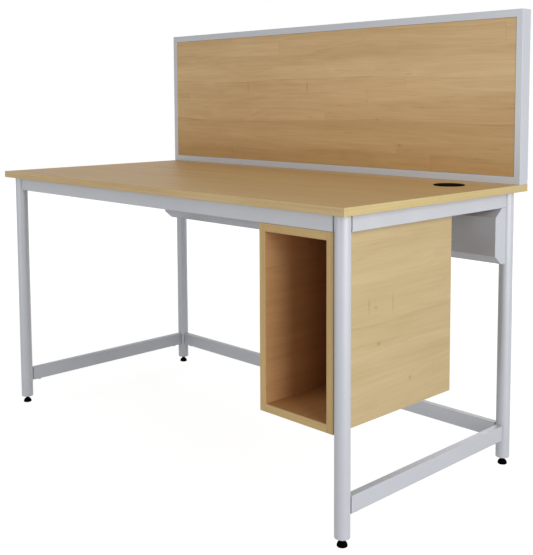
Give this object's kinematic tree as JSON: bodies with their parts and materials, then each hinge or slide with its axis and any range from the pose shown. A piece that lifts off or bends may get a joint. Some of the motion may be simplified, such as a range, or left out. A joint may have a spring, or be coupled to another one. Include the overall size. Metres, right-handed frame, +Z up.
{
  "type": "library catalogue station",
  "caption": "Worktop on a steel frame with round legs and levelling feet, with a framed screen along its rear edge, an open computer bay under one end and a cable tray.",
  "frame": {"origin": "on the floor under the middle of the worktop", "axes": "+X along the worktop to the user's right, +Y from the user to the screen, +Z up"},
  "size_m": [1.425, 0.725, 1.2],
  "materials": {
    "beech_laminate": "satin laminate",
    "edge_band": "satin edge band",
    "silver_paint": "satin powder coat",
    "anodised_aluminium": "satin anodised",
    "black_plastic": "matt",
    "zinc_steel": "zinc plated",
    "beech_dowel": "bare wood"
  },
  "bodies": {
    "desk": {"worktop_board": "beech_laminate", "worktop_band_front": "edge_band", "worktop_band_rear": "edge_band", "worktop_band_left": "edge_band", "worktop_band_right": "edge_band", "grommet_liner": "black_plastic", "leg_front_left": "silver_paint", "leg_front_right": "silver_paint", "leg_rear_left": "silver_paint", "leg_rear_right": "silver_paint", "leg_top_plugs": "black_plastic", "leg_end_caps": "silver_paint", "rail_front": "silver_paint", "rail_rear": "silver_paint", "rail_left": "silver_paint", "rail_right": "silver_paint", "stretcher_rear": "silver_paint", "stretcher_left": "silver_paint", "stretcher_right": "silver_paint", "rail_spigots": "zinc_steel", "joint_screws": "zinc_steel", "fixing_tabs": "silver_paint", "wood_screws": "zinc_steel", "rivet_nuts": "zinc_steel", "screen_stile_left": "anodised_aluminium", "screen_stile_right": "anodised_aluminium", "screen_rail_top": "anodised_aluminium", "screen_rail_bottom": "anodised_aluminium", "screen_corner_keys": "zinc_steel", "screen_posts": "anodised_aluminium", "screen_panel_front": "beech_laminate", "screen_panel_rear": "beech_laminate", "screen_nut_plates": "zinc_steel", "screen_bolts": "zinc_steel", "screen_washers": "zinc_steel", "bay_side_left": "beech_laminate", "bay_side_right": "beech_laminate", "bay_top": "beech_laminate", "bay_bottom": "beech_laminate", "bay_back": "beech_laminate", "bay_edge_bands": "edge_band", "bay_cams": "zinc_steel", "bay_cam_bolts": "zinc_steel", "bay_dowels": "beech_dowel", "bay_hangers": "silver_paint", "bay_bolts": "zinc_steel", "cable_tray": "silver_paint", "tray_end_left": "silver_paint", "tray_end_right": "silver_paint", "tray_bolts": "zinc_steel"},
    "foot_front_left": {"foot_stud_front_left": "zinc_steel", "foot_pad_front_left": "black_plastic"},
    "foot_front_right": {"foot_stud_front_right": "zinc_steel", "foot_pad_front_right": "black_plastic"},
    "foot_rear_left": {"foot_stud_rear_left": "zinc_steel", "foot_pad_rear_left": "black_plastic"},
    "foot_rear_right": {"foot_stud_rear_right": "zinc_steel", "foot_pad_rear_right": "black_plastic"},
    "grommet_cap": {"grommet_cap": "black_plastic"}
  },
  "joints": [
    {"name": "foot_front_left_level", "type": "slide", "parent": "desk", "child": "foot_front_left", "axis": [0, 0, -1], "range_m": [0, 0.02]},
    {"name": "foot_front_right_level", "type": "slide", "parent": "desk", "child": "foot_front_right", "axis": [0, 0, -1], "range_m": [0, 0.02]},
    {"name": "foot_rear_left_level", "type": "slide", "parent": "desk", "child": "foot_rear_left", "axis": [0, 0, -1], "range_m": [0, 0.02]},
    {"name": "foot_rear_right_level", "type": "slide", "parent": "desk", "child": "foot_rear_right", "axis": [0, 0, -1], "range_m": [0, 0.02]},
    {"name": "grommet_cap_turn", "type": "hinge", "parent": "desk", "child": "grommet_cap", "pos_m": [0.5825, 0.1975, 0.7485], "axis": [0, 0, 1], "continuous": true}
  ]
}
